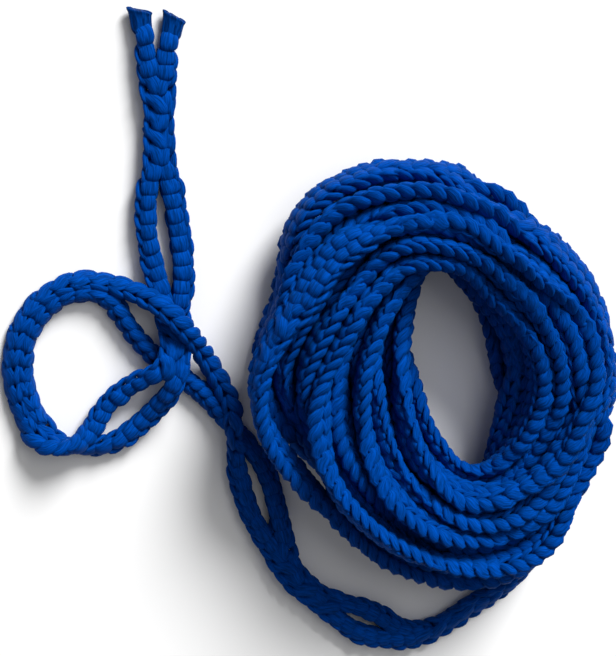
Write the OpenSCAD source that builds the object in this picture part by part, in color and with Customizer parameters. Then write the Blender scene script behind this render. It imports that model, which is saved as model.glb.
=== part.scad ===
// Coiled knitted line.
// A length of soft cord knitted as two chain-stitch legs that run side by
// side.  The legs are knitted together for a short way, part to leave an
// open eyelet, and join again, all along the line.  Most of the line is wound
// into a thick oval coil that lies flat, and its free tail lies on the same
// surface in one open loop.  Both legs of the tail end in a cut that is
// sealed by heat.
//
// Frame: millimetres, +Z up, the line rests on z = 0, and the origin is at
// the middle of the whole object's footprint.  The tail runs down the -X side
// and the coil lies on the +X side.

/* [Line] */
// height of one knitted leg above the surface it lies on, in its open eyelets
leg_h = 6.0; // [5.6:0.1:6]
// width of one leg where it runs free, as a share of the drawn 6 mm
leg_w_scale = 1.0; // [0.9:0.01:1]
// number of flat sides on a leg's tube
leg_sides = 8; // [8:2:12]

/* [Coil] */
// width of the coil's outline, square to its long way
coil_w = 111; // [108:1:114]
// length of the coil's outline
coil_l = 144; // [141:1:146]
// how far the coil's long way leans from Y, in degrees
coil_lean = 20; // [16:1:22]
// height of the coil above the surface it lies on
coil_h = 42.5; // [40:0.5:44]
// width of the hole through the coil
hole_w = 27; // [24:1:30]
// length of the hole through the coil
hole_l = 62; // [58:1:64]
// how far the hole's long way leans from Y, in degrees
hole_lean = 15; // [12:1:18]
// how much of the bundle is flattened where it lies
coil_flat = 1.5; // [1:0.1:2]

/* [Sealed ends] */
// length of the melted, pressed tip on each leg
seal_len = 5; // [4:0.5:6]
// width across the pressed cut
seal_w = 7.4; // [6.5:0.1:8]
// thickness of the pressed cut
seal_t = 3.6; // [3:0.1:4.4]
// how far the cut slants from one side to the other
seal_slant = 2.4; // [1:0.1:3]

/* [Hidden] */
line_colour = [0.02, 0.16, 0.50];
coil_colour = [0.015, 0.13, 0.44];
seal_colour = [0.01, 0.10, 0.36];

// Three level ovals shape the coil: its outline, the hole, and the rim that
// runs round its top.  Each is
// [middle x, middle y, half width, half length, lean].
outline_oval = [36.5, -8, coil_w / 2, coil_l / 2, coil_lean];
hole_oval = [44, -2, hole_w / 2, hole_l / 2, hole_lean];
rim_oval = [42, -8, 40.5, 48.5, coil_lean];
coil_steps = 48;
coil_sides = 16;
bundle_h = (coil_h + coil_flat) / 2;
bundle_z = coil_h - bundle_h;
big = 400;

// Each leg's route as [x, y, z, width], from its sealed end to the coil.
// A leg is 6 mm wide in the open eyelets and 5 mm wide, pressed against the
// other, where the two are knitted together.  z is the middle of the leg, so
// a leg that lies on the surface has z = 3.
leg_a_route = [
    [-51.5, 104.5, 3, 6],
    [-50.5, 95, 3, 6],
    [-49, 84, 3, 5.5],
    [-49, 73, 3, 5],
    [-49.5, 62, 3, 5.5],
    [-51.5, 50, 3, 6],
    [-51, 37, 3, 6],
    [-48.5, 25, 3, 6],
    [-46.5, 13, 3.5, 5],
    [-46.5, 4, 8, 5],
    [-48.5, -1.5, 9.5, 5.5],
    [-55, -6, 6.5, 6],
    [-64, -13, 3, 6],
    [-71, -22, 3.5, 6],
    [-78, -26.5, 9, 5.5],
    [-87, -25, 6, 5.5],
    [-92.5, -17, 3, 5],
    [-95, -5, 3, 5],
    [-94, 8, 3, 5],
    [-88, 19, 3, 5],
    [-78.5, 25.5, 3, 5],
    [-67, 26, 3, 5.5],
    [-56.5, 22, 4.5, 6],
    [-48, 18, 10.5, 6],
    [-41, 10.5, 12, 6],
    [-35, 1, 6, 6],
    [-29.5, -9.5, 3, 6],
    [-25.5, -17, 5.5, 5.5],
    [-25.5, -25, 9, 5],
    [-25.5, -33, 4.5, 5.5],
    [-23, -44, 3, 6],
    [-19, -57, 3, 6],
    [-13, -68, 3, 5.5],
    [-7.5, -79.5, 3, 5],
    [1.5, -89, 3, 5],
    [8.5, -95.5, 3, 5.5],
    [17.5, -102.5, 3, 6],
    [29, -106, 3, 6],
    [39.5, -106.5, 3, 5.5],
    [57, -98, 3, 5],
    [72, -88, 3.5, 5],
    [79, -78, 4.5, 5],
    [82, -68, 6.5, 5],
    [79, -57, 9.5, 5],
];
leg_b_route = [
    [-42.5, 102.5, 3, 6],
    [-44.5, 93, 3, 6],
    [-45, 84, 3, 5.5],
    [-45, 73, 3, 5],
    [-44.5, 62, 3, 5.5],
    [-42.5, 50, 3, 6],
    [-41, 37, 3, 6],
    [-40, 25, 3, 6],
    [-41.5, 13, 3.5, 5],
    [-41.5, 4, 8, 5],
    [-42.5, -3.5, 10, 5.5],
    [-46, -11, 8, 6],
    [-53, -20, 3, 6],
    [-63, -27.5, 3, 6],
    [-76, -28.5, 3, 5.5],
    [-84, -23, 3, 5.5],
    [-88.5, -14, 3, 5],
    [-91, -4.5, 3, 5],
    [-89.8, 6.3, 3, 5],
    [-84.5, 15.5, 3, 5],
    [-76.5, 21, 3, 5],
    [-68, 21.5, 3, 5.5],
    [-61.5, 16, 3, 6],
    [-55.5, 6, 3, 6],
    [-48, -2, 3, 6],
    [-40, -8.5, 3, 6],
    [-34.5, -14, 3, 6],
    [-30.5, -19.5, 3, 5.5],
    [-26, -25.5, 3, 5],
    [-19.5, -32, 3, 5.5],
    [-14, -42, 3, 6],
    [-11, -53, 3, 6],
    [-8.5, -65, 3, 5.5],
    [-4.5, -77, 3, 5],
    [4, -86, 3, 5],
    [13, -90.5, 3, 5.5],
    [23, -95, 3, 6],
    [32, -102, 3, 5.5],
    [43, -102.5, 3.5, 5],
    [56, -93, 5.5, 5],
    [70, -84.5, 8.5, 5],
    [77, -75.5, 10.5, 5],
    [80, -66, 12.5, 5],
    [80, -54.5, 15, 5],
];

function unit(v) = v / norm(v);
function next_of(route, i) = min(i + 1, len(route) - 1);
function prev_of(route, i) = max(i - 1, 0);
function point(route, i) = [route[i][0], route[i][1], route[i][2]];
function heading(route, i) =
    unit(point(route, next_of(route, i)) - point(route, prev_of(route, i)));
// level, and square to the leg
function across(route, i) = unit(cross([0, 0, 1], heading(route, i)));
function upward(route, i) = cross(heading(route, i), across(route, i));
// flats, not corners, stand at the leg's width and height
function corner(route, i, j) =
    let (turn = 360 * (j + 0.5) / leg_sides, grow = 1 / cos(180 / leg_sides))
    point(route, i)
    + across(route, i) * cos(turn) * grow * leg_w_scale * route[i][3] / 2
    + upward(route, i) * sin(turn) * grow * leg_h / 2;

// one closed tube, swept through the route's own points
module tube(route) {
    last = len(route) - 1;
    polyhedron(
        points = [
            for (i = [0:last]) for (j = [0:leg_sides - 1]) corner(route, i, j)
        ],
        faces = concat(
            [[for (j = [0:leg_sides - 1]) j]],
            [[for (j = [0:leg_sides - 1]) (last + 1) * leg_sides - 1 - j]],
            [for (i = [0:last - 1]) for (j = [0:leg_sides - 1])
                let (k = (j + 1) % leg_sides)
                [i * leg_sides + k, i * leg_sides + j,
                 (i + 1) * leg_sides + j, (i + 1) * leg_sides + k]]
        )
    );
}

// the melted tip: as deep as the leg where they meet, pressed thin and a
// little wider at the slanting cut
module sealed_tip(route) {
    back = -heading(route, 0);
    translate(point(route, 0))
        rotate([0, 0, atan2(back[1], back[0]) - 90])
            hull() {
                translate([-route[0][3] * leg_w_scale / 2, 0, -leg_h / 2])
                    cube([route[0][3] * leg_w_scale, 0.01, leg_h]);
                translate([-seal_w / 2, seal_len + seal_slant / 2, -seal_t / 2])
                    cube([0.2, 0.01, seal_t]);
                translate([seal_w / 2 - 0.2, seal_len - seal_slant / 2, -seal_t / 2])
                    cube([0.2, 0.01, seal_t]);
            }
}

// a point of a leaning oval, in the plane
function oval_point(oval, turn) =
    let (x = oval[2] * cos(turn), y = oval[3] * sin(turn))
    [oval[0] + x * cos(oval[4]) - y * sin(oval[4]),
     oval[1] + x * sin(oval[4]) + y * cos(oval[4])];
// a point on the bundle's skin: its section is an ellipse between the hole
// and the outline, and the rim leans it in or out
function skin(turn, side) =
    let (inner = oval_point(hole_oval, turn),
         outer = oval_point(outline_oval, turn),
         middle = (inner + outer) / 2,
         out = unit(outer - inner),
         lean = (oval_point(rim_oval, turn) - middle) * out,
         place = middle + out * (norm(outer - inner) / 2 * cos(side) + lean * sin(side)))
    [place[0], place[1], bundle_z + bundle_h * sin(side)];

// all the turns as one closed ring with a flat underside
module coil() {
    color(coil_colour)
        difference() {
            polyhedron(
                points = [
                    for (i = [0:coil_steps - 1]) for (j = [0:coil_sides - 1])
                        skin(360 * i / coil_steps, 360 * j / coil_sides)
                ],
                faces = [
                    for (i = [0:coil_steps - 1]) for (j = [0:coil_sides - 1])
                        let (n = (i + 1) % coil_steps, k = (j + 1) % coil_sides,
                             a = i * coil_sides + j, b = n * coil_sides + j,
                             c = n * coil_sides + k, d = i * coil_sides + k)
                        each [[a, b, c], [a, c, d]]
                ]
            );
            translate([-big / 2, -big / 2, -50])
                cube([big, big, 50]);
        }
}

module leg_a() {
    color(line_colour) tube(leg_a_route);
}

module leg_b() {
    color(line_colour) tube(leg_b_route);
}

module end_a() {
    color(seal_colour) sealed_tip(leg_a_route);
}

module end_b() {
    color(seal_colour) sealed_tip(leg_b_route);
}

coil();
leg_a();
leg_b();
end_a();
end_b();
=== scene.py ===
"""A coiled knitted line: two chain-stitch legs that join and part into eyelets.

Everything is in the CAD's frame.  Meshes, lights and the camera are in metres;
routes and sizes are in mm and are scaled by MM.  The line lies on z = 0.  The
free tail follows the same route points as the CAD.  The rest of the line is
wound into the coil by a formula and then settled by a small relaxation.
"""
import math

import bpy
import numpy as np
from mathutils import Matrix, Vector


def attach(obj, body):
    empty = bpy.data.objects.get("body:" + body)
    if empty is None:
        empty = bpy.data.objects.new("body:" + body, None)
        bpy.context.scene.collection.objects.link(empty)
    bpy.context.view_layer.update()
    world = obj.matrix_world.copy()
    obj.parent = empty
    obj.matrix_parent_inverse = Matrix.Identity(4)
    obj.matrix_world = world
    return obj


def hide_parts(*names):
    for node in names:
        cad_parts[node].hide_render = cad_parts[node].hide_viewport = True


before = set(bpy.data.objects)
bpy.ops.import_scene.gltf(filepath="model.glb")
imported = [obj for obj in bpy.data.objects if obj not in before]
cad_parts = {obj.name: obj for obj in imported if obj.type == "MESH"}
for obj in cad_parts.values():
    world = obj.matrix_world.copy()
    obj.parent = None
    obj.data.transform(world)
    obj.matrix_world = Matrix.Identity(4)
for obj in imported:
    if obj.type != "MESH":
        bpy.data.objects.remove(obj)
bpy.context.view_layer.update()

MM = 0.001

# ---------------------------------------------------------------- camera ---
CAMERA_TARGET = np.array([-1.0, 8.0, 8.0]) * MM
CAMERA_DISTANCE = 600 * MM
CAMERA_TILT = math.radians(20)
CAMERA_SIDE = math.radians(125)
VIEW_HEIGHT = 209.9 * MM
SENSOR = 36.0


def unit(v):
    """A vector of length 1 in the same direction."""
    v = np.asarray(v, dtype=float)
    return v / np.linalg.norm(v)


def make_camera():
    """Look down on the line from a little behind it and to its left."""
    back = np.array([
        math.sin(CAMERA_TILT) * math.cos(CAMERA_SIDE),
        math.sin(CAMERA_TILT) * math.sin(CAMERA_SIDE),
        math.cos(CAMERA_TILT),
    ])
    right = unit(np.cross([0, 1, 0], back))
    up = np.cross(back, right)
    place = CAMERA_TARGET + back * CAMERA_DISTANCE
    data = bpy.data.cameras.new("camera")
    data.sensor_fit = "VERTICAL"
    data.sensor_height = SENSOR
    data.lens = SENSOR * CAMERA_DISTANCE / VIEW_HEIGHT
    data.clip_start = 0.01
    data.clip_end = 20
    camera = bpy.data.objects.new("camera", data)
    bpy.context.scene.collection.objects.link(camera)
    matrix = np.eye(4)
    matrix[:3, 0] = right
    matrix[:3, 1] = up
    matrix[:3, 2] = back
    matrix[:3, 3] = place
    camera.matrix_world = Matrix([list(row) for row in matrix])
    bpy.context.scene.camera = camera


make_camera()

# ------------------------------------------------------- the tail's route ---
# [x, y, z, width] in mm, as in the CAD
LEG_A_ROUTE = [
    [-51.5, 104.5, 3, 6], [-50.5, 95, 3, 6], [-49, 84, 3, 5.5], [-49, 73, 3, 5],
    [-49.5, 62, 3, 5.5], [-51.5, 50, 3, 6], [-51, 37, 3, 6], [-48.5, 25, 3, 6],
    [-46.5, 13, 3.5, 5], [-46.5, 4, 8, 5], [-48.5, -1.5, 9.5, 5.5],
    [-55, -6, 6.5, 6], [-64, -13, 3, 6], [-71, -22, 3.5, 6],
    [-78, -26.5, 9, 5.5], [-87, -25, 6, 5.5], [-92.5, -17, 3, 5],
    [-95, -5, 3, 5], [-94, 8, 3, 5], [-88, 19, 3, 5], [-78.5, 25.5, 3, 5],
    [-67, 26, 3, 5.5], [-56.5, 22, 4.5, 6], [-48, 18, 10.5, 6],
    [-41, 10.5, 12, 6], [-35, 1, 6, 6], [-29.5, -9.5, 3, 6],
    [-25.5, -17, 5.5, 5.5], [-25.5, -25, 9, 5], [-25.5, -33, 4.5, 5.5],
    [-23, -44, 3, 6], [-19, -57, 3, 6], [-13, -68, 3, 5.5],
    [-7.5, -79.5, 3, 5], [1.5, -89, 3, 5], [8.5, -95.5, 3, 5.5], [17.5, -102.5, 3, 6],
    [29, -106, 3, 6], [39.5, -106.5, 3, 5.5], [57, -98, 3, 5],
    [72, -88, 3.5, 5], [79, -78, 4.5, 5], [82, -68, 6.5, 5],
    [79, -57, 9.5, 5],
]
LEG_B_ROUTE = [
    [-42.5, 102.5, 3, 6], [-44.5, 93, 3, 6], [-45, 84, 3, 5.5],
    [-45, 73, 3, 5], [-44.5, 62, 3, 5.5], [-42.5, 50, 3, 6], [-41, 37, 3, 6],
    [-40, 25, 3, 6], [-41.5, 13, 3.5, 5], [-41.5, 4, 8, 5],
    [-42.5, -3.5, 10, 5.5], [-46, -11, 8, 6], [-53, -20, 3, 6],
    [-63, -27.5, 3, 6], [-76, -28.5, 3, 5.5], [-84, -23, 3, 5.5],
    [-88.5, -14, 3, 5], [-91, -4.5, 3, 5], [-89.8, 6.3, 3, 5],
    [-84.5, 15.5, 3, 5], [-76.5, 21, 3, 5], [-68, 21.5, 3, 5.5],
    [-61.5, 16, 3, 6], [-55.5, 6, 3, 6], [-48, -2, 3, 6], [-40, -8.5, 3, 6],
    [-34.5, -14, 3, 6], [-30.5, -19.5, 3, 5.5], [-26, -25.5, 3, 5],
    [-19.5, -32, 3, 5.5], [-14, -42, 3, 6], [-11, -53, 3, 6],
    [-8.5, -65, 3, 5.5], [-4.5, -77, 3, 5], [4, -86, 3, 5],
    [13, -90.5, 3, 5.5], [23, -95, 3, 6], [32, -102, 3, 5.5],
    [43, -102.5, 3.5, 5], [56, -93, 5.5, 5], [70, -84.5, 8.5, 5],
    [77, -75.5, 10.5, 5], [80, -66, 12.5, 5], [80, -54.5, 15, 5],
]

ROUTE_SAMPLES = 4000   # points used to measure the tail's routes
PITCH = 5.4            # length of one stitch, mm
PER_STITCH = 2         # relaxation stations per stitch
STATION = PITCH / PER_STITCH
LEG_R = 2.95           # radius that keeps legs apart
FLOOR_Z = 3.0          # height of a leg's middle where it lies on the floor
FLAT_Z = 0.7           # yarn lower than this is pressed flat on the floor

# The coil is a twisted ring of laps.  Seen from above it has three ovals, mm:
# middle x, middle y, half width, half length, and lean in degrees.
OUTLINE = (36.5, -8.0, 55.5, 72.0, 20)
RIM = (41.0, -4.0, 46.5, 49.0, 12)
HOLE = (50.1, -3.0, 16.6, 38.2, 3)
# How far the real outline lies outside its oval, at every 30 degrees.
OUTLINE_TRIM = (0, -3, -10, -4, 5, -4, 9, -3, -4, 4, 7, -4)
COIL_MID_Z = 20.8      # height of the middle of the bundle
COIL_HALF_Z = 15.4     # and how far the laps' own middles lie above and below
LAP_INSET = 3.3        # from the bundle's side to a lap's middle
LAPS = 18.3            # laps of both legs that fill the coil
FIRST_LAP = 0.03       # laps between the tail's end and the first coil station
LAP_SAMPLES = 1200     # points on the formula's curve in one lap
EDGE_SAMPLES = 721     # points of the outline, to find where the tail meets it
CORE_REACH = 0.004     # the last lap's share of the section, so it isn't a point
GOLDEN = (3 - math.sqrt(5)) / 2       # turns of the bundle's twist in one lap
TWIST_SIDE = math.radians(185)        # the side of the coil where it twists most
TWIST_SWING = 0.85                    # how unevenly it twists
START_ROLL = math.radians(-62)        # where the outermost lap starts in the bundle
BULGE_SIDE = math.radians(118)        # outer laps bulge here
BULGE_WIDE = math.radians(15)
BULGE = 3.0
STRAY = 1.15                          # how far laps wander aside, mm
STRAY_UP = 0.8                        # and the share of that upwards
STRAY_SEED = 5
ROCK = 0.28                           # how far the pair of legs tips over, radians
ROCK_SEED = 6
WANDER_RATES = (0.7, 1.1, 1.9, 2.7, 3.6)      # waves of the wandering in each lap
OUTLINE_BINS = 48                     # directions in which the bundle is filled out
OUTLINE_NEAR = 3                      # bins to each side that are averaged
LEAST_FILL = 0.6       # smallest reach that a direction is stretched from
HALF_LADDER = 2.6                     # half the distance between the two legs
JOIN_EVERY = 24        # in the coil the legs are joined once in so many stations
JOIN_LONG = 9          # and stay joined for so many
JOINED_WIDTH = 5.35    # narrower parts of the tail's route are joined

# How the legs settle.  Distances in mm.
ROUNDS = 200
PUSH = 1.3             # how strongly the moves of one round are taken
LINK_RANGE = (0.85, 1.15)             # lengths a link may have, in stations
BEND_SPAN = 1.97       # two links in a line span at least this many stations
BEND_SHARE = 0.35
BEND_WEIGHT = 0.7
EVEN = 0.12            # pull of each station towards the middle of its neighbours
HOME = 0.006           # pull back to where a station started
HOME_LATE = 0.002      # and the same in the last rounds
LATE = 0.7             # share of the rounds after which they are the last ones
PAIR_REACH = 8.0       # stations closer than this are watched for contact
PAIR_EVERY = 10        # rounds between two searches for such pairs
PAIR_CHUNK = 512       # stations compared with all others at a time
SAME_LEG_NEAR = 3      # stations along one leg that never count as contact
OTHER_LEG_NEAR = 2     # and along the other leg
JOINED_RUNG = (4.3, 4.6)              # distance between the legs where joined
FREE_RUNG = (5.6, 7.5)                # and where they are free
SINK = 0.025           # mm a round, so that the bundle rests on the floor
DRAW_IN = 0.025        # mm a round, at the outside of the bundle
DRAW_SPAN = 20.0       # distance from the core at which DRAW_IN is reached
FIXED_END = 6          # stations of the tail that are free to settle with the coil


def catmull(points, at):
    """Catmull-Rom through points, at the given fractional indices."""
    count = len(points)
    i = np.clip(np.floor(at).astype(int), 0, count - 2)
    t = (at - i)[:, None]
    p0 = points[np.clip(i - 1, 0, count - 1)].copy()
    p1 = points[i]
    p2 = points[i + 1]
    p3 = points[np.clip(i + 2, 0, count - 1)].copy()
    p0[i == 0] = 2 * points[0] - points[1]
    p3[i == count - 2] = 2 * points[-1] - points[-2]
    return 0.5 * (2 * p1 + (p2 - p0) * t + (2 * p0 - 5 * p1 + 4 * p2 - p3) * t ** 2
                  + (3 * p1 - p0 - 3 * p2 + p3) * t ** 3)


def length_along(points):
    """The distance run along a line at each of its points."""
    step = np.linalg.norm(np.diff(points, axis=0), axis=1)
    return np.concatenate([[0], np.cumsum(step)])


def tail_stations():
    """Both legs of the tail at evenly spaced stations, and their route's width."""
    a = np.array(LEG_A_ROUTE, float)
    b = np.array(LEG_B_ROUTE, float)
    dense = np.linspace(0, len(a) - 1, ROUTE_SAMPLES)
    along = (length_along(catmull(a[:, :3], dense))
             + length_along(catmull(b[:, :3], dense))) / 2
    count = int(round(along[-1] / STATION))
    at = np.interp(np.linspace(0, along[-1], count + 1), along, dense)
    pa = catmull(a, at)
    pb = catmull(b, at)
    width = (pa[:, 3] + pb[:, 3]) / 2
    return pa[:, :3], pb[:, :3], width


def oval(ring, angle):
    """Points of one of the coil's ovals, seen from above."""
    x = ring[2] * np.cos(angle)
    y = ring[3] * np.sin(angle)
    lean = math.radians(ring[4])
    return np.stack([ring[0] + x * math.cos(lean) - y * math.sin(lean),
                     ring[1] + x * math.sin(lean) + y * math.cos(lean)], axis=1)


def trimmed_outline(angle):
    """The outline's oval, drawn in or let out by OUTLINE_TRIM."""
    edge = oval(OUTLINE, angle)
    aside = edge - np.array(OUTLINE[:2])
    toward = np.degrees(np.arctan2(aside[:, 1], aside[:, 0]))
    trim = np.interp(toward, np.arange(12) * 30, OUTLINE_TRIM, period=360)
    return edge + aside / np.linalg.norm(aside, axis=1)[:, None] * trim[:, None]


def wander(lap, seed, size):
    """A smooth random walk aside, a few waves in each lap."""
    rng = np.random.RandomState(seed)
    total = np.zeros((len(lap), 2))
    for rate in WANDER_RATES:
        phase = rng.uniform(0, 2 * math.pi, 2)
        total += np.sin(2 * math.pi * rate * lap[:, None] + phase) * size / rate ** 0.5
    return total


def fill_out(aside, angle):
    """Stretch the bundle so that in every direction it reaches its outline."""
    which = (angle / (2 * math.pi) * OUTLINE_BINS).astype(int) % OUTLINE_BINS
    most = np.zeros(OUTLINE_BINS)
    least = np.zeros(OUTLINE_BINS)
    np.maximum.at(most, which, aside)
    np.minimum.at(least, which, aside)
    near = np.arange(-OUTLINE_NEAR, OUTLINE_NEAR + 1)
    around = (np.arange(OUTLINE_BINS)[:, None] + near) % OUTLINE_BINS
    most = most[around].mean(axis=1)[which]
    least = least[around].mean(axis=1)[which]
    size = np.where(aside > 0, most, -least)
    return aside / np.maximum(size, LEAST_FILL)


def bundle_places(lap, angle, first):
    """Where the laps' middles run, and the middle of the section beside them."""
    low = oval(HOLE, angle)
    high = trimmed_outline(angle)
    mid = (low + high) / 2
    half = np.linalg.norm(high - low, axis=1)[:, None] / 2 - LAP_INSET
    out = (high - low) / np.linalg.norm(high - low, axis=1)[:, None]
    lean = ((oval(RIM, angle) - mid) * out).sum(axis=1)[:, None]
    swing = TWIST_SWING / (2 * math.pi) * (np.sin(angle - TWIST_SIDE)
                                           - math.sin(first - TWIST_SIDE))
    roll = START_ROLL - 2 * math.pi * GOLDEN * (lap + swing)
    reach = np.sqrt(np.clip(1 - lap / LAPS, CORE_REACH, 1))
    aside = np.stack([fill_out(np.cos(roll) * reach, angle),
                      fill_out(np.sin(roll) * reach, angle)], axis=1)
    off_bulge = np.angle(np.exp(1j * (angle - BULGE_SIDE)))
    bulge = BULGE * np.exp(-(off_bulge / BULGE_WIDE) ** 2)[:, None]
    bulge = bulge * np.clip(0.5 + 0.5 * aside[:, :1], 0, 1) ** 2
    stray = wander(lap, STRAY_SEED, STRAY)
    place = np.zeros((len(lap), 3))
    place[:, :2] = mid + out * (half * aside[:, :1] + lean * aside[:, 1:]
                                + bulge + stray[:, :1])
    place[:, 2] = COIL_MID_Z + COIL_HALF_Z * aside[:, 1] + stray[:, 1] * STRAY_UP
    return place, mid, out


def coil_stations(start):
    """Both legs of every lap, before they settle, from the outermost lap in."""
    around = np.linspace(0, 2 * math.pi, EDGE_SAMPLES)
    edge = oval(OUTLINE, around)
    first = around[np.argmin(np.linalg.norm(edge - start[:2], axis=1))]
    lap = np.linspace(FIRST_LAP, LAPS, int(LAPS * LAP_SAMPLES))
    angle = first + 2 * math.pi * lap
    place, mid, out = bundle_places(lap, angle, first)
    rock = wander(lap, ROCK_SEED, ROCK)[:, 0]
    wide = np.zeros_like(place)
    wide[:, :2] = out * np.sin(rock)[:, None]
    wide[:, 2] = np.cos(rock)
    run = length_along(place)
    count = int(run[-1] / STATION)
    at = np.linspace(0, run[-1], count + 1)[1:]
    place = np.stack([np.interp(at, run, place[:, k]) for k in range(3)], axis=1)
    wide = np.stack([np.interp(at, run, wide[:, k]) for k in range(3)], axis=1)
    core = np.full_like(place, COIL_MID_Z)
    core[:, 0] = np.interp(at, run, mid[:, 0])
    core[:, 1] = np.interp(at, run, mid[:, 1])
    return place - wide * HALF_LADDER, place + wide * HALF_LADDER, core


def join_pattern(width, count):
    """True where the two legs are knitted together."""
    joined = (np.arange(count) % JOIN_EVERY) < JOIN_LONG
    joined[:len(width)] = width < JOINED_WIDTH
    return joined


def near_pairs(points, leg, station, reach):
    """Index pairs closer than reach that aren't neighbours on the line."""
    first = []
    second = []
    small = points.astype(np.float32)
    for start in range(0, len(points), PAIR_CHUNK):
        gap = ((small[start:start + PAIR_CHUNK, None] - small[None]) ** 2).sum(axis=2)
        u, v = np.nonzero(gap < reach ** 2)
        u = u + start
        keep = v > u
        first.append(u[keep])
        second.append(v[keep])
    i = np.concatenate(first)
    j = np.concatenate(second)
    same = leg[i] == leg[j]
    apart = np.abs(station[i] - station[j])
    keep = ~(same & (apart <= SAME_LEG_NEAR)) & ~(~same & (apart <= OTHER_LEG_NEAR))
    return i[keep], j[keep]


class Moves:
    """The moves asked of every station in one round, averaged where several meet."""

    def __init__(self, count):
        self.total = np.zeros((count, 3))
        self.hits = np.full(count, 1e-6)

    def add(self, index, move, weight=1.0):
        count = len(self.hits)
        for axis in range(3):
            self.total[:, axis] += np.bincount(index, weights=move[:, axis] * weight,
                                               minlength=count)
        self.hits += np.bincount(index, minlength=count) * weight

    def mean(self):
        return self.total / np.maximum(self.hits, 1)[:, None]


def between(x, first, second):
    """From each first station to its second one: the vector and its length."""
    d = x[second] - x[first]
    return d, np.linalg.norm(d, axis=1) + 1e-9


def push_apart(x, moves, first, second):
    """Part the stations that are closer than two radii."""
    d, gap = between(x, first, second)
    deep = 2 * LEG_R - gap
    hit = deep > 0
    move = d[hit] / gap[hit, None] * (deep[hit, None] * 0.5)
    moves.add(first[hit], -move)
    moves.add(second[hit], move)


def hold_links(x, moves, link, rest):
    """Keep neighbouring stations at their distance."""
    d, gap = between(x, link, link + 1)
    move = d / gap[:, None] * ((gap - rest)[:, None] * 0.5)
    moves.add(link, move)
    moves.add(link + 1, -move)


def hold_bends(x, moves, bend):
    """Straighten what bends too tightly."""
    d, gap = between(x, bend, bend + 2)
    short = np.minimum(gap - BEND_SPAN * STATION, 0)
    move = d / gap[:, None] * (short[:, None] * BEND_SHARE)
    moves.add(bend, move, BEND_WEIGHT)
    moves.add(bend + 2, -move, BEND_WEIGHT)


def hold_rungs(x, moves, rung, near, far):
    """Keep the two legs at their distance from each other."""
    d, gap = between(x, rung, rung + len(rung))
    off = np.where(gap < near, gap - near, np.where(gap > far, gap - far, 0))
    move = d / gap[:, None] * (off[:, None] * 0.5)
    moves.add(rung, move)
    moves.add(rung + len(rung), -move)


def even_out(x, count):
    """How far each station is from the middle of its two neighbours."""
    even = np.zeros_like(x)
    for s in (0, count):
        even[s + 1:s + count - 1] = ((x[s:s + count - 2] + x[s + 2:s + count]) / 2
                                     - x[s + 1:s + count - 1])
    return even


def settle(a, b, core, joined, fixed):
    """Push the legs apart where they overlap, keep their lengths and draw in gaps."""
    count = len(a)
    wound = count - len(core)
    x = np.concatenate([a, b])
    home = x.copy()
    free = np.ones(2 * count)
    free[:fixed] = 0
    free[count:count + fixed] = 0
    free = free[:, None]
    leg = np.repeat([0, 1], count)
    station = np.tile(np.arange(count), 2)
    link = np.concatenate([np.arange(count - 1), count + np.arange(count - 1)])
    bend = np.concatenate([np.arange(count - 2), count + np.arange(count - 2)])
    rung = np.arange(count)
    rest = np.clip(np.linalg.norm(home[link + 1] - home[link], axis=1),
                   LINK_RANGE[0] * STATION, LINK_RANGE[1] * STATION)
    near = np.where(joined, JOINED_RUNG[0], FREE_RUNG[0])
    far = np.where(joined, JOINED_RUNG[1], FREE_RUNG[1])
    for turn in range(ROUNDS):
        if turn % PAIR_EVERY == 0:
            i, j = near_pairs(x, leg, station, PAIR_REACH)
        moves = Moves(2 * count)
        push_apart(x, moves, i, j)
        hold_links(x, moves, link, rest)
        hold_bends(x, moves, bend)
        hold_rungs(x, moves, rung, near, far)
        x += moves.mean() * PUSH * free
        x += even_out(x, count) * EVEN * free
        x += (home - x) * (HOME if turn < ROUNDS * LATE else HOME_LATE) * free
        for s in (wound, count + wound):
            inward = core - x[s:s + len(core)]
            x[s:s + len(core)] += inward / DRAW_SPAN * DRAW_IN
            x[s:s + len(core), 2] -= SINK
        x[:, 2] = np.maximum(x[:, 2], FLOOR_Z)
    return x[:count], x[count:]


def smooth(values, rounds):
    """Even out values along a line; its two ends stay."""
    out = values.copy()
    for _ in range(rounds):
        mid = out.copy()
        mid[1:-1] = (out[:-2] + 2 * out[1:-1] + out[2:]) / 4
        out = mid
    return out


def normalise(v):
    """Each row of an array as a vector of length 1."""
    return v / np.maximum(np.linalg.norm(v, axis=1), 1e-9)[:, None]


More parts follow.
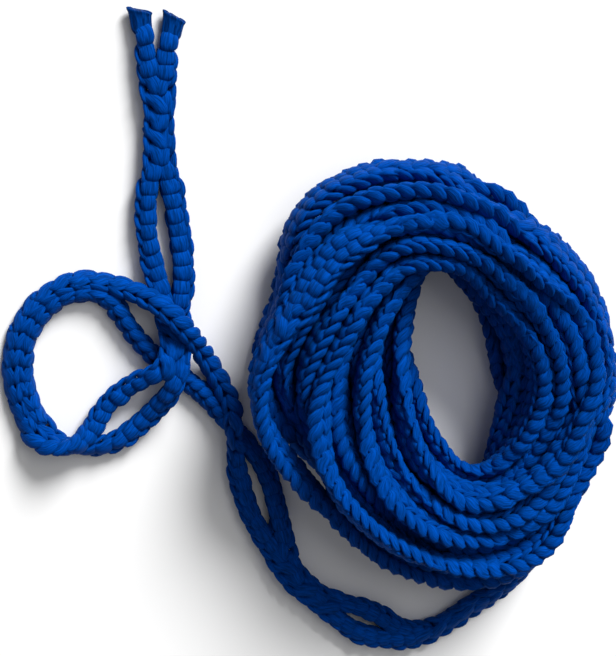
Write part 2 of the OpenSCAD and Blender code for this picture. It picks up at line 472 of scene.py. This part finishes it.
# ----------------------------------------------------------- the stitches ---
# One stitch of yarn: the bulb on the back, through the loop before, up one
# arm, round the head and down the other arm.  In every row: where it is along
# the leg in pitches, across, through (bulb side negative), half width, half
# thickness, and the direction of the thin axis as across, through, along.
STITCH = np.array([
    [0.00, 0.70, 0.30, 1.00, 1.05, 0, 0, -1],
    [0.02, 0.40, -0.75, 2.10, 1.00, 0, -0.7, -0.7],
    [0.18, 0.15, -1.55, 2.60, 1.00, 0, -1, 0],
    [0.48, 0.00, -1.90, 2.75, 1.10, 0, -1, 0],
    [0.84, -0.05, -1.85, 2.65, 1.15, 0, -1, 0],
    [1.05, -0.20, -1.25, 2.05, 1.05, 0, -0.8, 0.6],
    [1.10, -0.50, -0.20, 1.10, 1.05, 0, 0, 1],
    [1.14, -0.75, 0.95, 1.05, 0.95, 0.2, -0.7, 0.7],
    [1.40, -1.30, 1.65, 1.65, 0.90, 0.5, -0.85, 0],
    [1.78, -1.95, 1.20, 1.85, 0.90, 0.7, -0.7, 0],
    [2.16, -2.05, 0.30, 1.50, 0.90, 0.7, -0.7, 0],
    [2.40, -1.35, -0.45, 1.10, 0.90, 0.3, -0.9, 0],
    [2.48, 0.00, -0.70, 1.10, 0.90, 0, -1, 0],
    [2.40, 1.35, -0.45, 1.10, 0.90, -0.3, -0.9, 0],
    [2.16, 2.05, 0.30, 1.50, 0.90, -0.7, -0.7, 0],
    [1.78, 1.95, 1.20, 1.85, 0.90, -0.7, -0.7, 0],
    [1.40, 1.30, 1.65, 1.65, 0.90, -0.5, -0.85, 0],
    [1.14, 0.80, 0.95, 1.05, 0.95, -0.2, -0.7, 0.7],
])
ALONG, ACROSS, THROUGH, WIDE, THICK, THIN_ACROSS, THIN_THROUGH, THIN_ALONG = range(8)
THIN_AXIS = slice(THIN_ACROSS, None)
BULB = slice(2, 6)             # rows of the bulb's broad part
# Rows of the arm on a leg's outer side, by the side that the other leg is on.
OUTER_ARM_ROWS = {1: [8, 9, 10, 11], -1: [16, 15, 14, 13]}

# How uneven the stitches are: bulb out, bulb wide, bulb across, arms across,
# bulb along, one arm wide, the other arm wide, and one that isn't used.
UNEVEN = np.array([0.08, 0.07, 0.16, 0.07, 0.05, 0.1, 0.1, 0.0])

JOINED_GAP = 4.1       # between the legs where they are knitted together
DRAW_LIMIT = 1.2       # how far a leg is drawn aside at most
DRAW_REACH = 7.5       # legs farther apart than this aren't drawn together
KNIT_GAP = 4.75        # legs closer than this are knitted together
FREE_STITCH = 0.87     # a stitch of a free leg is this much shorter
BULB_IN = 0.45         # a bulb sits this much towards the other leg
FIRST_BULB_WIDE = 1.06                # the bulb at the sealed tip is wider
# Shifts of a stitch's rows, mm.  A joined pair of bulbs leans together, and in
# the next course one leg's bulb crosses over to the other leg.
HEART_SHIFT = np.array([-0.3, 0.2, 0.8, 1.2, 1.5, 1.0])
HEART_WIDE = np.array([1.0, 0.85, 0.84, 0.82, 0.74, 0.8])
BAND_SHIFT = np.array([-0.8, -0.3, 1.1, 2.3, 2.7, 1.9, 0.5])
BAND_WIDE = 0.78
BAND_OUT = 0.35        # the crossing bulb stands out
UNDER_BACK = 0.7       # and the other leg's bulb moves aside
UNDER_IN = 0.6         # and in, to pass under it
# The arm on the leg's outer side comes round to the back: x and y of its rows.
OUTER_ARM = np.array([[0.25, -0.5], [0.45, -1.1], [0.1, -1.35], [-0.3, -0.5]])
OUTER_THIN = np.array([[0.6, -0.8], [0.8, -0.6], [0.75, -0.65]])
OUTER_ARM_WIDE = 1.1
JOINED_ARM_IN = 0.95   # how far that arm moves in where the legs are joined
JOINED_ARM_WIDE = 1.3  # and how much wider it gets


def draw_together(a, b, joined):
    """Bring the legs close together wherever they are knitted to each other."""
    tight = smooth(joined.astype(float), 4)
    aside = b - a
    gap = np.linalg.norm(aside, axis=1)
    pull = np.clip((gap - JOINED_GAP) / 2, 0, DRAW_LIMIT) * tight * (gap < DRAW_REACH)
    move = smooth(aside / gap[:, None] * pull[:, None], 2)
    return a + move, b - move


def leg_frames(own, a, b):
    """Centre, across, through and along axes at every station of a leg."""
    centre = smooth(own, 2)
    along = normalise(np.gradient(smooth(own, 3), axis=0))
    wide = smooth(b - a, 6)
    back = normalise(np.cross(along, wide))
    back = normalise(smooth(back, 8))
    back = normalise(back - (back * along).sum(axis=1)[:, None] * along)
    through = -back
    across = np.cross(through, along)
    return centre, across, through, along


def at_station(values, where):
    """Values at fractional stations."""
    where = np.clip(where, 0, len(values) - 1.001)
    i = where.astype(int)
    f = (where - i)[:, None]
    return values[i] * (1 - f) + values[i + 1] * f


def knit_courses(a, b):
    """Where every stitch begins, in stations, and its number in a join, or 0."""
    gap = np.linalg.norm(b - a, axis=1)
    begin = [0.0]
    course = []
    while begin[-1] < len(a) - PER_STITCH:
        knitted = gap[int(begin[-1]) + 1] < KNIT_GAP
        before = course[-1] if course else 0
        course.append(before + 1 if knitted else 0)
        begin.append(begin[-1] + PER_STITCH * (1 if knitted else FREE_STITCH))
    return np.array(begin), course


def uneven(t, random):
    """Make one stitch a little irregular, by its own random numbers."""
    g = UNEVEN * random
    t[1:6, THROUGH] *= 1 + g[0]
    t[BULB, WIDE] *= 1 + g[1]
    t[BULB, ACROSS] += g[2]
    t[8:17, ACROSS] *= 1 + g[3]
    t[2:5, ALONG] += g[4]
    t[8:12, WIDE] *= 1 + g[5]
    t[13:17, WIDE] *= 1 + g[6]


def bring_round(t, toward, joined):
    """Turn the outer arm to the back; toward is the other leg's side, 1 or -1."""
    arm = OUTER_ARM_ROWS[toward]
    t[arm, ACROSS] -= toward * OUTER_ARM[:, 0]
    t[arm, THROUGH] += OUTER_ARM[:, 1]
    t[arm[:3], THIN_ACROSS] = toward * OUTER_THIN[:, 0]
    t[arm[:3], THIN_THROUGH] = OUTER_THIN[:, 1]
    t[arm[:3], WIDE] *= OUTER_ARM_WIDE
    if joined:
        t[arm[:3], ACROSS] += toward * JOINED_ARM_IN
        t[arm[:3], WIDE] *= JOINED_ARM_WIDE


def knit_across(t, toward, course):
    """Odd courses of a join make a heart, even ones a crossing."""
    if course % 2:
        t[1:7, ACROSS] += toward * HEART_SHIFT
        t[1:7, WIDE] *= HEART_WIDE
    elif toward < 0:
        t[1:8, ACROSS] += toward * BAND_SHIFT
        t[BULB, THROUGH] -= BAND_OUT
        t[BULB, WIDE] *= BAND_WIDE
    else:
        t[1:6, ACROSS] -= toward * UNDER_BACK
        t[2:5, THROUGH] += UNDER_IN


def stitch_rows(k, toward, course, random):
    """The rows of stitch k of one leg; course is its number in a join, or 0."""
    t = STITCH.copy()
    t[:, ALONG] += k
    uneven(t, random)
    bring_round(t, toward, course > 0)
    if k == 0:
        t[1:6, WIDE] *= FIRST_BULB_WIDE
    t[BULB, ACROSS] += toward * BULB_IN
    if course:
        knit_across(t, toward, course)
    t[:, THIN_AXIS] *= 1 if k % 2 == 0 else -1
    return t


def leg_yarn(own, a, b, first, last, samples, sides, seed):
    """Rings of yarn for stitches first..last of one leg."""
    toward = 1 if own is b else -1
    centre, across, through, along = leg_frames(own, a, b)
    begin, course = knit_courses(a, b)
    rng = np.random.RandomState(seed)
    jitter = rng.normal(0, 1, (len(begin) + 4, len(UNEVEN)))
    table = np.concatenate([stitch_rows(k, toward, course[k], jitter[k])
                            for k in range(first, last)])
    at = np.linspace(0, len(table) - 1, (last - first) * samples)
    table = catmull(table, at)
    where = np.interp(table[:, ALONG], np.arange(len(begin)), begin)
    c = at_station(centre, where)
    ax = at_station(across, where)
    ay = at_station(through, where)
    az = at_station(along, where)
    spot = c + ax * table[:, ACROSS, None] + ay * table[:, THROUGH, None]
    tangent = normalise(np.gradient(spot, axis=0))
    thin = (ax * table[:, THIN_ACROSS, None] + ay * table[:, THIN_THROUGH, None]
            + az * table[:, THIN_ALONG, None])
    thin = normalise(thin - (thin * tangent).sum(axis=1)[:, None] * tangent)
    wide = np.cross(tangent, thin)
    angle = np.arange(sides) * 2 * math.pi / sides
    ring = (spot[:, None]
            + wide[:, None] * np.cos(angle)[None, :, None] * table[:, WIDE][:, None, None]
            + thin[:, None] * np.sin(angle)[None, :, None] * table[:, THICK][:, None, None])
    run = length_along(spot)
    return ring, run, angle


def press_on_floor(ring):
    """Flatten what would reach below the floor, so that it rests on it."""
    low = ring[:, :, 2] < FLAT_Z
    ring[low, 2] = FLAT_Z * np.exp(ring[low, 2] / FLAT_Z - 1)


def grid_quads(rings, sides):
    """The faces between the rings of one tube."""
    r = np.arange(rings - 1)[:, None]
    s = np.arange(sides)[None]
    n = (s + 1) % sides
    quad = np.stack([r * sides + s, r * sides + n, (r + 1) * sides + n,
                     (r + 1) * sides + s], axis=-1)
    return quad.reshape(-1, 4)


def yarn_marks(ring, run, angle):
    """At every point, where it is round the yarn, x and y, and along it, z."""
    mark = np.zeros(ring.shape)
    mark[:, :, 0] = np.cos(angle)[None]
    mark[:, :, 1] = np.sin(angle)[None]
    mark[:, :, 2] = run[:, None]
    return mark.reshape(-1, 3)


def tube_mesh(name, parts):
    """One mesh from several ring grids; each is closed at its two ends."""
    verts = []
    faces = []
    caps = []
    marks = []
    base = 0
    for ring, run, angle in parts:
        press_on_floor(ring)
        rings, sides = ring.shape[:2]
        verts.append(ring.reshape(-1, 3) * MM)
        marks.append(yarn_marks(ring, run, angle))
        faces.append(grid_quads(rings, sides) + base)
        caps.append(base + np.arange(sides)[::-1])
        caps.append(base + (rings - 1) * sides + np.arange(sides))
        base += rings * sides
    verts = np.concatenate(verts)
    faces = np.concatenate(faces)
    marks = np.concatenate(marks)
    mesh = bpy.data.meshes.new(name)
    mesh.vertices.add(len(verts))
    mesh.vertices.foreach_set("co", verts.astype(np.float32).ravel())
    corners = np.concatenate([faces.ravel()] + caps)
    sizes = np.array([4] * len(faces) + [len(cap) for cap in caps])
    mesh.loops.add(len(corners))
    mesh.loops.foreach_set("vertex_index", corners.astype(np.int32))
    mesh.polygons.add(len(sizes))
    mesh.polygons.foreach_set("loop_start", (np.cumsum(sizes) - sizes).astype(np.int32))
    mesh.update(calc_edges=True)
    layer = mesh.attributes.new("yarn", "FLOAT_VECTOR", "POINT")
    layer.data.foreach_set("vector", marks.astype(np.float32).ravel())
    mesh.polygons.foreach_set("use_smooth", np.ones(len(sizes), dtype=bool))
    mesh.validate()
    piece = bpy.data.objects.new(name, mesh)
    bpy.context.scene.collection.objects.link(piece)
    return piece


# -------------------------------------------------------- the sealed tips ---
TIP_LENGTH = 5.0
TIP_SLANT = 2.4        # the melted edge runs so much aslant
TIP_ROOT = 2.2         # how far the tip reaches back into the first stitch
TIP_SIDES = 64
TIP_RINGS = 26
TIP_LIP_RINGS = 6      # the last rings, which close the melted edge
TIP_RIDGES = 9         # pleats round the tip
TIP_GROOVE = 0.055     # their depth, as a share of the tip's size
TIP_RING_STEP = 0.3    # streak length from ring to ring
TIP_NECK = 0.35        # the first share of the tip is a neck
TIP_NECK_IN = 0.6      # and how strongly it is drawn in
TIP_WIDE = 3.15        # half width at the root
TIP_FLARE = 0.5        # and how much more at the edge
TIP_THICK = 2.5        # half thickness at the root
TIP_PINCH = 0.9        # and how much less at the edge
TIP_BEAD = 0.22        # the melted edge is a small bead
TIP_BEAD_AT = 0.97     # where it is, as a share of the tip
TIP_BEAD_LONG = 0.07   # and how long
TIP_EDGE = 3.7         # half width that the slant is measured over
TIP_LIP = 0.35         # how far the lip stands past the edge
TIP_LIP_LONG = 0.25    # the lip's share of the rings before it
TIP_SINK = 0.35        # the edge lies lower than the root
TIP_FRAY = 0.28        # raggedness of the edge


def tip_ring(k, turn, pleat, fray):
    """Side, length and height of one ring of the tip."""
    t = k / (TIP_RINGS - TIP_LIP_RINGS)
    lip = max(t - 1, 0) / TIP_LIP_LONG
    run = min(t, 1)
    neck = math.sqrt(1 - TIP_NECK_IN * max(1 - run / TIP_NECK, 0) ** 2)
    wide = (TIP_WIDE + TIP_FLARE * run ** 3) * neck
    thick = (TIP_THICK - TIP_PINCH * run ** 0.8) * neck
    shut = math.sqrt(max(1 - lip ** 2, 0)) if lip else 1
    bead = TIP_BEAD * math.exp(-((t - TIP_BEAD_AT) / TIP_BEAD_LONG) ** 2)
    shape = np.sign(np.cos(turn)) * np.abs(np.cos(turn)) ** 0.8
    rise = np.sign(np.sin(turn)) * np.abs(np.sin(turn)) ** 0.9
    groove = 1 + TIP_GROOVE * pleat * (1 - 0.7 * run)
    x = (wide * groove + bead) * shape * (1 - 0.35 * lip * (1 - shut))
    z = (thick * groove + bead) * rise * (0.08 + 0.92 * shut)
    y = -TIP_ROOT + run * (TIP_LENGTH + TIP_ROOT) + TIP_LIP * lip
    y = y - x / TIP_EDGE * TIP_SLANT / 2 * run
    y = y + fray * TIP_FRAY * run ** 4
    return x, y, z - TIP_SINK * run


def tip_mesh(name, own, seed):
    """The end of a leg, melted and pressed into a slanting, pleated fan."""
    rng = np.random.RandomState(seed)
    back = unit(own[0] - own[2])
    side = unit(np.cross(back, [0, 0, 1]))
    up = np.cross(side, back)
    turn = np.arange(TIP_SIDES) * 2 * math.pi / TIP_SIDES
    pleat = np.cos(TIP_RIDGES * turn + 0.6 * np.sin(2 * turn + seed))
    fray = rng.uniform(-1, 1, TIP_SIDES)
    fray = (fray + np.roll(fray, 1) + np.roll(fray, -1)) / 2
    rings = []
    for k in range(TIP_RINGS):
        x, y, z = tip_ring(k, turn, pleat, fray)
        rings.append(own[0] + back * y[:, None] + side * x[:, None] + up * z[:, None])
    run = np.arange(TIP_RINGS) * TIP_RING_STEP
    return tube_mesh(name, [(np.array(rings), run, turn)])


# -------------------------------------------------------------- materials ---
# The yarn's dark streak colour is partly its own tone and partly painted shade between the
# filaments, set dark for contrast.
YARN_DARK_STREAKS_AND_SHADE = (0.0, 0.023, 0.13, 1)
YARN_LIGHT = (0.0, 0.055, 0.34, 1)
YARN_ROUGH = 0.6
MELTED_DARK = (0.0, 0.008, 0.05, 1)
MELTED_LIGHT = (0.0, 0.035, 0.2, 1)
MELTED_ROUGH = 0.42
YARN_GLOSS = 0.05
GLOSS_TINT = (0.05, 0.25, 1.0, 1.0)
SHEEN = 0.06
SHEEN_ROUGH = 0.5
SHEEN_TINT = (0.02, 0.4, 1.0, 1.0)
STREAKS = (6.5, 6.5, 0.3)             # fine round the yarn, long along it
STREAK_DETAIL = 4.0
STREAK_LOW = 0.36
STREAK_HIGH = 0.64
BUMP = 0.6
BUMP_DEPTH = 0.0004


def yarn_material(name, dark, light, rough):
    """Dyed multifilament yarn: fine streaks run along it, by the yarn attribute; the dark
    streaks are partly the fibres' own tone and partly painted shade between the filaments.
    """
    mat = bpy.data.materials.new(name)
    mat.use_nodes = True
    nodes = mat.node_tree.nodes
    links = mat.node_tree.links
    shader = nodes["Principled BSDF"]
    shader.inputs["Roughness"].default_value = rough
    shader.inputs["Specular IOR Level"].default_value = YARN_GLOSS
    shader.inputs["Specular Tint"].default_value = GLOSS_TINT
    shader.inputs["Sheen Weight"].default_value = SHEEN
    shader.inputs["Sheen Roughness"].default_value = SHEEN_ROUGH
    shader.inputs["Sheen Tint"].default_value = SHEEN_TINT
    mark = nodes.new("ShaderNodeAttribute")
    mark.attribute_name = "yarn"
    scale = nodes.new("ShaderNodeVectorMath")
    scale.operation = "MULTIPLY"
    scale.inputs[1].default_value = STREAKS
    links.new(mark.outputs["Vector"], scale.inputs[0])
    fine = nodes.new("ShaderNodeTexNoise")
    fine.inputs["Scale"].default_value = 1.0
    fine.inputs["Detail"].default_value = STREAK_DETAIL
    links.new(scale.outputs[0], fine.inputs["Vector"])
    # the ramp's dark end is partly painted shade between the filaments
    ramp = nodes.new("ShaderNodeValToRGB")
    ramp.color_ramp.elements[0].position = STREAK_LOW
    ramp.color_ramp.elements[0].color = dark
    ramp.color_ramp.elements[1].position = STREAK_HIGH
    ramp.color_ramp.elements[1].color = light
    links.new(fine.outputs["Fac"], ramp.inputs["Fac"])
    links.new(ramp.outputs["Color"], shader.inputs["Base Color"])
    bump = nodes.new("ShaderNodeBump")
    bump.inputs["Strength"].default_value = BUMP
    bump.inputs["Distance"].default_value = BUMP_DEPTH
    links.new(fine.outputs["Fac"], bump.inputs["Height"])
    links.new(bump.outputs["Normal"], shader.inputs["Normal"])
    return mat


# -------------------------------------------------------- floor and light ---
FLOOR_HALF = 3.0
FLOOR_SHADE = (0.9, 0.9, 0.9, 1)
FLOOR_ROUGH = 0.9
WORLD_LIGHT = 0.21
FILL_PLACE = (0.35, 0.6, 1.15)
FILL_SIZE = 0.8
FILL_POWER = 3.4
KEY_FROM = (0.42, 0.92, 0.58)
KEY_POWER = 5.3
KEY_ANGLE = math.radians(24)


def floor_plane():
    """A plain pale floor."""
    mesh = bpy.data.meshes.new("floor")
    half = FLOOR_HALF
    mesh.from_pydata([(-half, -half, 0), (half, -half, 0), (half, half, 0), (-half, half, 0)],
                     [], [(0, 1, 2, 3)])
    floor = bpy.data.objects.new("floor", mesh)
    bpy.context.scene.collection.objects.link(floor)
    mat = bpy.data.materials.new("floor")
    mat.use_nodes = True
    shader = mat.node_tree.nodes["Principled BSDF"]
    shader.inputs["Base Color"].default_value = FLOOR_SHADE
    shader.inputs["Roughness"].default_value = FLOOR_ROUGH
    mesh.materials.append(mat)


def lamp(data, place):
    """Put a light at a place, turned towards the origin."""
    light = bpy.data.objects.new(data.name, data)
    light.location = place
    light.rotation_euler = (-Vector(place)).to_track_quat("-Z", "Y").to_euler()
    bpy.context.scene.collection.objects.link(light)


def studio_light():
    """A soft key light from the photo's upper right, a fill and a pale world."""
    scene = bpy.context.scene
    scene.view_settings.view_transform = "Standard"
    world = bpy.data.worlds.new("studio")
    world.use_nodes = True
    background = world.node_tree.nodes["Background"]
    background.inputs["Color"].default_value = (1, 1, 1, 1)
    background.inputs["Strength"].default_value = WORLD_LIGHT
    scene.world = world
    fill = bpy.data.lights.new("fill", "AREA")
    fill.size = FILL_SIZE
    fill.energy = FILL_POWER
    lamp(fill, FILL_PLACE)
    key = bpy.data.lights.new("key", "SUN")
    key.angle = KEY_ANGLE
    key.energy = KEY_POWER
    lamp(key, KEY_FROM)


# ------------------------------------------------------------------ build ---
LEG_SEEDS = (11, 23)
TIP_SEEDS = (3, 8)
TAIL_SAMPLES = (40, 12)               # rings in a stitch and points in a ring
COIL_SAMPLES = (22, 8)                # the same in the coil
TAIL_OVER = 6          # stations of the coil that are still made as finely
UNUSED_STITCHES = 4    # left off at the inner end, where the route stops

tail_a, tail_b, tail_width = tail_stations()
coil_a, coil_b, coil_core = coil_stations((tail_a[-1] + tail_b[-1]) / 2)
route_a = np.concatenate([tail_a, coil_a])
route_b = np.concatenate([tail_b, coil_b])
joined = join_pattern(tail_width, len(route_a))
route_a, route_b = settle(route_a, route_b, coil_core, joined, len(tail_a) - FIXED_END)
route_a, route_b = draw_together(route_a, route_b, joined)

begin = knit_courses(route_a, route_b)[0]
tail_stitches = int(np.searchsorted(begin, len(tail_a) + TAIL_OVER))
all_stitches = len(begin) - UNUSED_STITCHES
yarn = yarn_material("yarn", YARN_DARK_STREAKS_AND_SHADE, YARN_LIGHT, YARN_ROUGH)
melted = yarn_material("melted_yarn", MELTED_DARK, MELTED_LIGHT, MELTED_ROUGH)
for name, own, seed in zip(("leg_a", "leg_b"), (route_a, route_b), LEG_SEEDS):
    piece = tube_mesh("line_" + name, [
        leg_yarn(own, route_a, route_b, 0, tail_stitches, *TAIL_SAMPLES, seed),
        leg_yarn(own, route_a, route_b, tail_stitches, all_stitches, *COIL_SAMPLES, seed),
    ])
    piece.data.materials.append(yarn)
    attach(piece, "root")
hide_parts("leg_a", "coil")
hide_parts("leg_b")
for name, own, seed in zip(("end_a", "end_b"), (route_a, route_b), TIP_SEEDS):
    tip = tip_mesh("sealed_" + name, own, seed)
    tip.data.materials.append(melted)
    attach(tip, "root")
    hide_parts(name)

floor_plane()
studio_light()
